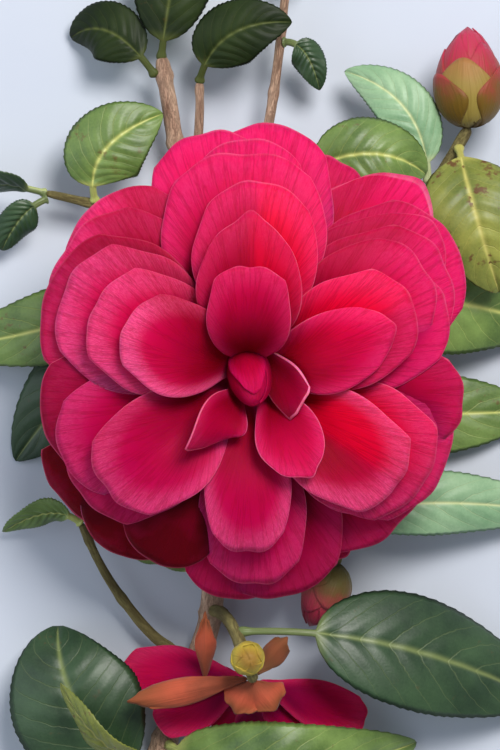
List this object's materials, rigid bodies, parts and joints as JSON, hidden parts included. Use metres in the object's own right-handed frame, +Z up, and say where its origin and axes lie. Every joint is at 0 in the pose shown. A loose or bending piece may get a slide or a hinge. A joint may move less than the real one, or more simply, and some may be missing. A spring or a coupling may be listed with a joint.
{
  "type": "cut camellia branch",
  "caption": "Cut branch of a camellia with one large many-petalled bloom, buds and glossy leaves, lying on a surface.",
  "frame": {"origin": "on the surface the branch lies on, under the middle of its bounding box", "axes": "+Z up, the way the bloom faces; +Y from the cut end towards the leafy top; +X to the right seen from above"},
  "size_m": [0.1574, 0.2424, 0.0654],
  "materials": {
    "petals": "satin, deep rose red, finely veined",
    "petals_spent": "satin, magenta, with dry brown scales",
    "bud_petal": "satin, dull rose",
    "bud_scale": "downy yellow-green",
    "leaf_green": "glossy green with pale veins and brown spots",
    "leaf_dark": "glossy dark green",
    "leaf_pale": "glossy pale green",
    "leaf_yellow": "yellow-green with brown spots",
    "bark": "fine pinkish-brown bark",
    "green_twig": "olive young bark"
  },
  "bodies": {
    "root": {"bloom": "petals", "calyx": "bud_scale", "bloom_spent": "petals_spent", "stem_main": "bark", "stem_flower_shoot": "green_twig", "stem_bud_twig": "green_twig", "stem_top_right_twig": "bark", "stem_right_twig": "green_twig", "stem_left_twig": "green_twig", "stem_side_shoot": "green_twig", "stem_top_twig": "bark", "stem_spent_stalk": "green_twig", "leaf_upper_right": "leaf_green", "leaf_crown_left": "leaf_dark", "leaf_upper_left": "leaf_green", "leaf_left_curled": "leaf_dark", "leaf_left_spotted": "leaf_green", "leaf_left_dark": "leaf_dark", "leaf_right_spotted": "leaf_green", "leaf_right_under": "leaf_green", "leaf_under_bud": "leaf_yellow", "leaf_pale": "leaf_pale", "leaf_small_dark": "leaf_dark", "leaf_lower_right": "leaf_dark", "leaf_bottom": "leaf_green", "leaf_lower_left": "leaf_dark", "leaf_folded": "leaf_yellow", "leaf_middle": "leaf_green", "leaf_right_low": "leaf_pale", "leaf_crown_top": "leaf_dark", "leaf_crown_right": "leaf_dark", "leaf_left_edge": "leaf_dark", "leaf_left_low": "leaf_green", "leaf_twig_end": "leaf_pale", "bud_large": "bud_petal", "bud_red": "bud_petal", "bud_green": "bud_scale"}
  },
  "joints": []
}
